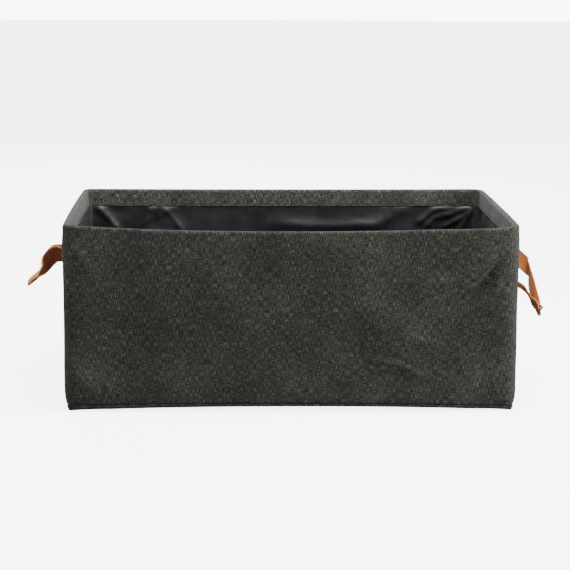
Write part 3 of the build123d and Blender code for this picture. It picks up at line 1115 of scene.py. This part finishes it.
@dataclass
class BaseInsert:
    """The lift-out board in its cloth sleeve. Both bow with the base that they lie on."""

    shape: BinShape
    sleeve_corner: float = 9.0
    board_corner: float = 6.0

    def slab(self, name: str, node: str, corner: float, dent: float) -> bpy.types.Object:
        """Make a thin slab with soft edges in the box of a CAD node.

        Args:
            name: The new piece's name.
            node: The CAD node that it stands for.
            corner: The radius of its four corners, in mm.
            dent: How uneven its upper face is, in mm.

        Returns:
            The piece.
        """
        low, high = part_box(node)
        bottom, top = low[2] / MM, high[2] / MM
        line = Outline(high[0] / MM, high[1] / MM, (corner,) * 4, 6.0, 7)
        middle, half = (bottom + top) / 2, (top - bottom) / 2
        margin = half * 1.3
        shares = np.concatenate([np.linspace(1.0, 0.1, 18), [0.05, 0.02]])
        rows = []
        for plan in medial_rows(line, shares, margin):
            uneven = Ripples(41, 30, 170.0, 36.0).at(np.pad(plan * MM, ((0, 0), (0, 1))))
            level = top - np.clip(uneven + 1.2, 0.0, 3.0) * dent
            rows.append(np.concatenate([plan, level[:, None]], axis=1))
        for turn in np.linspace(80, -80, 9):
            angle = math.radians(turn)
            plan = line.anchor - line.normal * margin * (1.0 - math.cos(angle))
            level = np.full((len(plan), 1), middle + half * 0.94 * math.sin(angle))
            rows.append(np.concatenate([plan, level], axis=1))
        for plan in medial_rows(line, shares[::-1], margin):
            rows.append(np.concatenate([plan, np.full((len(plan), 1), bottom)], axis=1))
        points = np.array(rows)
        points[..., 2] += self.shape.lift(points[..., :2])
        points *= MM
        flat = np.concatenate([points, points[:, :1]], axis=1)[..., :2]
        piece = grid_object(name, points, flat.copy(), closed=True)
        weld(piece)
        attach(piece, "base_insert")
        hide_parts(node)
        return piece

    def build(self, finishes: Finishes) -> list[bpy.types.Object]:
        """Make the board and its sleeve.

        Args:
            finishes: The bin's finishes.

        Returns:
            The two pieces.
        """
        sleeve = self.slab("base_board_sleeve", "base_board_cover", self.sleeve_corner, 0.07)
        dress(sleeve, finishes.base_linen)
        board = self.slab("base_board_card", "base_board", self.board_corner, 0.0)
        dress(board, finishes.card)
        return [sleeve, board]


# --- hidden frame --------------------------------------------------------------------------
def tube(name: str, path: np.ndarray, radius: float, sides: int = 12) -> bpy.types.Object:
    """Make a closed tube along a path.

    Args:
        name: The piece's name.
        path: Points x 3, in metres.
        radius: The tube's radius, in metres.
        sides: How many sides its section has.

    Returns:
        The piece.
    """
    way = np.gradient(path, axis=0)
    way /= np.linalg.norm(way, axis=1)[:, None]
    side = np.cross(way, np.array([0.0, 0.0, 1.0]))
    side /= np.linalg.norm(side, axis=1)[:, None]
    up = np.cross(side, way)
    turns = 2 * math.pi * np.arange(sides) / sides
    rings = (path[:, None] + radius * (side[:, None] * np.cos(turns)[None, :, None]
                                       + up[:, None] * np.sin(turns)[None, :, None]))
    count = len(path)
    faces = []
    for ring in range(count - 1):
        for step in range(sides):
            after = (step + 1) % sides
            low, high = ring * sides, (ring + 1) * sides
            faces.append((low + step, low + after, high + after, high + step))
    faces.append(tuple(reversed(range(sides))))
    faces.append(tuple((count - 1) * sides + step for step in range(sides)))
    return loose_object(name, rings.reshape(-1, 3), faces)


@dataclass
class HiddenFrame:
    """The sprung wire in the rim, its sleeves, and the posts that hold the corners up."""

    shape: BinShape
    wire_radius: float = 0.002
    sleeve_radius: float = 0.0027
    sleeve_half: float = 0.015

    def ring(self) -> np.ndarray:
        """The rim wire's line: the middle of the rolled edge, all the way round."""
        shape = self.shape
        height = (shape.rim() - shape.roll_radius)[None]
        return shape.place(np.full_like(height, shape.roll_radius), height)[0]

    def build(self, finishes: Finishes) -> list[bpy.types.Object]:
        """Make the rim wires and sleeves, and dress the frame's CAD pieces.

        Args:
            finishes: The bin's finishes.

        Returns:
            The new pieces.
        """
        ring = self.ring()
        split = int(np.argmin(np.abs(ring[:, 0]) + (ring[:, 1] > 0)))
        ring = np.roll(ring, -split, axis=0)
        back = int(np.argmin(np.abs(ring[:, 0]) + (ring[:, 1] < 0)))
        halves = {"right": ring[: back + 1], "left": np.vstack([ring[back:], ring[:1]])}
        made = []
        for side, path in halves.items():
            wire = tube(f"rim_wire_{side}_bent", path[1:-1], self.wire_radius)
            dress(wire, finishes.wire)
            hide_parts(f"rim_wire_{side}")
            made.append(wire)
        for side, near in (("front", 0), ("back", back)):
            centre = ring[near]
            share = np.linspace(-1, 1, 9)
            path = centre[None] + np.outer(share, [self.sleeve_half, 0, 0])
            sleeve = tube(f"rim_sleeve_{side}_crimped", path, self.sleeve_radius, 16)
            dress(sleeve, finishes.sleeve)
            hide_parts(f"rim_sleeve_{side}")
            made.append(sleeve)
        for piece in made:
            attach(piece, "bin")
        for item in bpy.data.objects:
            if item.name.startswith("corner_post"):
                dress(item, finishes.wire)
            elif item.name.startswith(("post_clip", "post_foot")):
                dress(item, finishes.plastic)
        return made


# --- straps -------------------------------------------------------------------------------
class Side(Enum):
    """An end of the bin, with its direction along X."""

    LEFT = -1.0
    RIGHT = 1.0


@dataclass(frozen=True)
class Station:
    """A place on a strap's middle line: outwards, along the wall and up, in mm, and the
    direction in which the strap's upper edge points there. Cup is how far, in mm, the strap
    curls across its width, which bows its back out. Slant turns the line across the strap
    towards its run, as at an oblique fold."""

    out: float
    along: float
    up: float
    edge: tuple[float, float, float]
    cup: float = 0.0
    slant: float = 0.0


UPRIGHT = (0.0, 0.0, 1.0)
FRONT_TAB = (
    Station(301.6, -44, 190, UPRIGHT),
    Station(301.6, -56, 190, UPRIGHT),
    Station(301.8, -70, 190, UPRIGHT),
)
BACK_TAB = (
    Station(301.8, 70, 190, UPRIGHT),
    Station(301.6, 56, 190, UPRIGHT),
    Station(301.6, 44, 190, UPRIGHT),
)
LEFT_LOOP = (
    Station(303.8, -76, 189.5, (0.0, -0.1, 0.99)),
    Station(308.0, -71, 190.0, (0.0, -0.40, 0.92)),
    Station(313.0, -63, 190.5, (0.0, -0.45, 0.89)),
    Station(321.0, -49, 188.5, (0.20, 0.15, 0.96), 2.5),
    Station(329.0, -36, 183.0, (0.28, 0.10, 0.95), 4.0),
    Station(336.5, -23, 173.0, (0.33, 0.18, 0.92), 3.0),
    Station(342.5, -11, 161.0, (0.12, 0.93, 0.30), 1.0),
    Station(352.0, -3, 152.1, (0.10, 0.98, 0.12)),
    Station(361.5, 0, 144.0, (0.10, 0.98, 0.12)),
    Station(364.5, 0, 139.8, (0.10, 0.98, 0.06)),
    Station(361.0, 0, 141.3, (0.10, 0.98, 0.04)),
    Station(351.0, 2, 149.4, (0.10, 0.98, 0.04)),
    Station(341.0, 10, 160.0, (0.18, 0.88, 0.40)),
    Station(335.5, 20, 171.5, (0.25, 0.45, 0.86)),
    Station(330.5, 31, 178.5, (0.12, 0.10, 0.98)),
    Station(323.0, 44, 177.5, (0.05, 0.0, 1.0)),
    Station(315.0, 59, 174.0, UPRIGHT),
    Station(308.0, 71, 182.0, UPRIGHT),
    Station(304.0, 76, 190.0, UPRIGHT),
)
RIGHT_LOOP = (
    Station(303.5, -76, 185.0, (0.0, -0.3, 0.95)),
    Station(306.0, -70, 173.0, (0.0, -0.75, 0.66)),
    Station(310.5, -62, 160.0, (0.0, -0.95, 0.30)),
    Station(318.5, -50, 148.0, (0.05, -0.92, 0.38)),
    Station(328.0, -40, 138.5, (0.0, -0.96, 0.25)),
    Station(338.0, -34, 128.0, (-0.12, -0.97, 0.20)),
    Station(346.0, -37, 116.5, (0.08, -0.86, 0.48)),
    Station(350.8, -40, 109.0, (-0.05, -0.87, 0.45)),
    Station(353.0, -42, 107.4, (-0.05, -0.87, 0.45)),
    Station(351.6, -36, 111.5, (0.10, -0.72, 0.68)),
    Station(348.8, -12, 125.5, (0.21, -0.56, 0.79)),
    Station(347.8, 14, 139.0, (0.17, -0.58, 0.79), 0.0, 0.1),
    Station(347.8, 30, 146.5, (0.03, -0.50, 0.86), 0.0, 0.35),
    Station(348.0, 39, 153.0, (-0.09, -0.30, 0.95), 0.0, 0.55),
    Station(345.5, 44, 157.5, (0.0, 0.0, 1.0), 0.0, 0.55),
    Station(337.5, 50, 165.0, (0.10, 0.0, 0.99), 0.8, 0.35),
    Station(324.0, 58, 176.0, (0.20, 0.0, 0.97), 0.6, 0.15),
    Station(311.0, 69, 186.8, (0.10, 0.0, 0.99)),
    Station(304.0, 76, 190.0, UPRIGHT),
)


def smooth_path(points: np.ndarray, per_span: int) -> np.ndarray:
    """Run a centripetal Catmull-Rom curve through points.

    Args:
        points: Points x any number of values; the first three are the place.
        per_span: How many steps each span gets.

    Returns:
        The curve's points, with the same number of values.
    """
    padded = np.vstack([2 * points[0] - points[1], points, 2 * points[-1] - points[-2]])
    gaps = np.sqrt(np.linalg.norm(np.diff(padded[:, :3], axis=0), axis=1))
    knots = np.concatenate([[0.0], np.cumsum(np.maximum(gaps, 1e-6))])
    result = []
    for span in range(1, len(padded) - 2):
        t0, t1, t2, t3 = knots[span - 1: span + 3]
        p0, p1, p2, p3 = padded[span - 1: span + 3]
        last = span == len(padded) - 3
        for share in np.linspace(0, 1, per_span + 1)[: None if last else -1]:
            t = t1 + share * (t2 - t1)
            a1 = ((t1 - t) * p0 + (t - t0) * p1) / (t1 - t0)
            a2 = ((t2 - t) * p1 + (t - t1) * p2) / (t2 - t1)
            a3 = ((t3 - t) * p2 + (t - t2) * p3) / (t3 - t2)
            b1 = ((t2 - t) * a1 + (t - t0) * a2) / (t2 - t0)
            b2 = ((t3 - t) * a2 + (t - t1) * a3) / (t3 - t1)
            result.append(((t2 - t) * b1 + (t - t1) * b2) / (t2 - t1))
    return np.array(result)


@dataclass
class StrapHandle:
    """One leather strap: two flat ends riveted to the wall and a loop that hangs off them."""

    side: Side
    loop: tuple[Station, ...]
    width: float = 22.0
    thickness: float = 2.2
    edge_round: float = 0.8
    per_span: int = 9
    # How far out, in mm, the left strap's back side starts to show tan as painted light.
    painted_light_from: float = 346.0

    @property
    def label(self) -> str:
        """The side's name."""
        return self.side.name.lower()

    def section(self) -> tuple[np.ndarray, list[int]]:
        """The strap's section and the material of each stretch of it.

        Returns:
            Points x 2, across and through, in mm, and a material number for each stretch.
        """
        half, deep, soft = self.width / 2, self.thickness / 2, self.edge_round
        across = np.linspace(-(half - soft), half - soft, 9)
        crown = 0.25 * (1.0 - (across / half) ** 2)
        face = [(a, deep - 0.25 + c) for a, c in zip(across, crown)]
        back = [(a, -deep) for a in across[::-1]]
        turns = np.radians([65, 30, 0, -30, -65])
        right = [(half - soft + soft * math.cos(t), (deep - 0.1) * math.sin(t)) for t in turns]
        left = [(-a, -d) for a, d in right]
        points = face + right + back + left
        slots = [0] * (len(face) - 1) + [2] * (len(right) + 1)
        slots += [1] * (len(back) - 1) + [2] * (len(left) + 1)
        return np.array(points), slots

    def frames(self) -> tuple[np.ndarray, np.ndarray, np.ndarray, np.ndarray]:
        """The strap's middle line, with its width, its face and its cup at each step."""
        stations = FRONT_TAB + self.loop + BACK_TAB
        raw = np.array(
            [(s.out, s.along, s.up, *s.edge, s.cup, s.slant) for s in stations], dtype=float
        )
        line = smooth_path(raw, self.per_span)
        centre, edge, cup, slant = line[:, :3], line[:, 3:6], line[:, 6], line[:, 7]
        way = np.gradient(centre, axis=0)
        way /= np.linalg.norm(way, axis=1)[:, None]
        edge = edge - way * (edge * way).sum(axis=1)[:, None]
        edge /= np.linalg.norm(edge, axis=1)[:, None]
        return centre, edge + way * slant[:, None], np.cross(edge, way), cup

    def build(self, finishes: Finishes) -> bpy.types.Object:
        """Make the strap and dress it and its fasteners.

        Args:
            finishes: The bin's finishes.

        Returns:
            The piece.
        """
        centre, edge, face, cup = self.frames()
        profile, slots = self.section()
        bowed = cup[:, None] * ((profile[:, 0] / (self.width / 2)) ** 2 - 0.5)[None]
        rings = (centre[:, None] + edge[:, None] * profile[None, :, :1]
                 + face[:, None] * (profile[:, 1][None] + bowed)[..., None])
        rings[..., 0] *= self.side.value
        count, sides = rings.shape[:2]
        faces, numbers = [], []
        for ring in range(count - 1):
            for step in range(sides):
                after = (step + 1) % sides
                low, high = ring * sides, (ring + 1) * sides
                corner = (low + step, low + after, high + after, high + step)
                faces.append(corner if self.side is Side.LEFT else corner[::-1])
                # painted light: on the left strap the back side turns tan past this point, near the
                # tip, where it faces up into the light
                lit_tip = self.side is Side.LEFT and centre[ring, 0] > self.painted_light_from
                numbers.append(0 if lit_tip and slots[step] == 1 else slots[step])
        ends = [tuple(reversed(range(sides))), tuple((count - 1) * sides + s for s in range(sides))]
        faces += ends if self.side is Side.LEFT else [end[::-1] for end in ends]
        numbers += [2, 2]
        piece = loose_object(f"{self.label}_strap", rings.reshape(-1, 3) * MM, faces)
        # painted shade and light: the left strap's back takes the dark shaded copy, the right strap's
        # back the lighter lit copy
        back = finishes.brown if self.side is Side.LEFT else finishes.rubbed_brown
        dress(piece, finishes.tan, back, finishes.strap_edge)
        piece.data.polygons.foreach_set("material_index", numbers)
        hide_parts(f"{self.label}_strap_loop", f"{self.label}_strap_tab_front",
                    f"{self.label}_strap_tab_back")
        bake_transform(piece)
        for item, material in (("rivets", finishes.rivet), ("rivet_washers", finishes.rivet),
                               ("wall_patches", finishes.webbing)):
            dress(bpy.data.objects[f"{self.label}_{item}"], material)
        return piece


# --- studio -------------------------------------------------------------------------------
@dataclass
class Studio:
    """The camera, the floor and the soft lights."""

    position: tuple[float, float, float] = (-0.081, -2.761, 0.608)
    yaw: float = 1.615
    pitch: float = 9.68
    roll: float = 0.24
    lens: float = 125.2
    ambient: float = 0.27
    backdrop: float = 9.0
    floor_glow: float = 5.0

    def camera(self) -> None:
        """Place the camera at eye height in front of the bin."""
        data = bpy.data.cameras.new("view")
        data.lens = self.lens
        data.sensor_width = 36.0
        data.clip_end = 60.0
        made = bpy.data.objects.new("view", data)
        bpy.context.scene.collection.objects.link(made)
        yaw, pitch, roll = (math.radians(a) for a in (self.yaw, self.pitch, self.roll))
        ahead = Vector((math.sin(yaw) * math.cos(pitch), math.cos(yaw) * math.cos(pitch),
                        -math.sin(pitch)))
        right = Vector((math.cos(yaw), -math.sin(yaw), 0.0))
        up = right.cross(ahead)
        tilted = right * math.cos(roll) + up * math.sin(roll)
        upright = up * math.cos(roll) - right * math.sin(roll)
        turn = Matrix((tilted, upright, -ahead)).transposed()
        made.matrix_world = Matrix.Translation(self.position) @ turn.to_4x4()
        bpy.context.scene.camera = made

    def floor(self) -> None:
        """Make the pale floor."""
        size = 14.0
        corners = [(-size, -size, 0), (size, -size, 0), (size, size, 0), (-size, size, 0)]
        made = loose_object("floor", np.array(corners), [(0, 1, 2, 3)])
        tree = Tree("pale_floor")
        seen = tree.node("ShaderNodeLightPath")
        tone = tree.ramp(seen.outputs["Is Camera Ray"], [(0.0, (0.28,) * 3), (1.0, (0.93,) * 3)])
        tree.feed(tree.shader.inputs["Base Color"], tone)
        tree.shader.inputs["Emission Color"].default_value = (1.0, 1.0, 1.0, 1.0)
        tree.feed(tree.shader.inputs["Emission Strength"],
                  tree.math("MULTIPLY", seen.outputs["Is Camera Ray"], self.floor_glow))
        tree.shader.inputs["Roughness"].default_value = 0.9
        dress(made, tree.material)

    def light(self, name: str, place: tuple[float, float, float], size: float, power: float,
              aim: tuple[float, float, float] = (0.0, 0.0, 0.12)) -> None:
        """Hang one square soft light.

        Args:
            name: The light's name.
            place: Where it hangs, in metres.
            size: Its side, in metres.
            power: Its power, in watts.
            aim: The point that it looks at.
        """
        data = bpy.data.lights.new(name, "AREA")
        data.energy = power
        data.size = size
        made = bpy.data.objects.new(name, data)
        bpy.context.scene.collection.objects.link(made)
        made.location = place
        made.rotation_euler = (Vector(aim) - Vector(place)).to_track_quat("-Z", "Y").to_euler()

    def build(self) -> None:
        """Set up the studio."""
        self.camera()
        self.floor()
        world = bpy.data.worlds.new("studio")
        world.use_nodes = True
        nodes, links = world.node_tree.nodes, world.node_tree.links
        nodes["Background"].inputs[1].default_value = self.ambient
        backdrop = nodes.new("ShaderNodeBackground")
        backdrop.inputs[1].default_value = self.backdrop
        seen, mix = nodes.new("ShaderNodeLightPath"), nodes.new("ShaderNodeMixShader")
        links.new(seen.outputs["Is Camera Ray"], mix.inputs[0])
        links.new(nodes["Background"].outputs[0], mix.inputs[1])
        links.new(backdrop.outputs[0], mix.inputs[2])
        links.new(mix.outputs[0], nodes["World Output"].inputs[0])
        for ground in (nodes["Background"], backdrop):
            ground.inputs[0].default_value = (1.0, 1.0, 1.0, 1.0)
        bpy.context.scene.world = world
        self.light("overhead", (0.35, -0.55, 2.5), 1.4, 140.0)
        self.light("near_right", (1.6, -0.8, 0.7), 0.6, 25.0, (0.25, -0.2, 0.10))
        self.light("right_side", (2.4, -0.5, 0.9), 1.1, 16.0)
        self.light("left_side", (-2.4, -0.5, 0.9), 1.1, 16.0)
        self.light("back", (-0.5, 2.6, 1.5), 1.2, 52.0)


def main() -> None:
    """Build the bin from the ground up and report each piece."""
    logging.basicConfig(level=logging.INFO, format="%(name)s: %(message)s")
    Studio().build()
    finishes = Finishes.build()
    shape = BinShape()
    pieces = HiddenFrame(shape).build(finishes)
    outer = OuterCloth(shape)
    pieces += [outer.build(finishes), outer.stitches(finishes)]
    pieces.append(Lining(shape).build(finishes))
    pieces += BaseCloth(shape).build(finishes)
    pieces += BaseInsert(shape).build(finishes)
    pieces.append(StrapHandle(Side.LEFT, LEFT_LOOP).build(finishes))
    pieces.append(StrapHandle(Side.RIGHT, RIGHT_LOOP).build(finishes))
    for piece in pieces:
        LOG.info("%s: %d points", piece.name, len(piece.data.vertices))


if __name__ == "__main__":
    main()
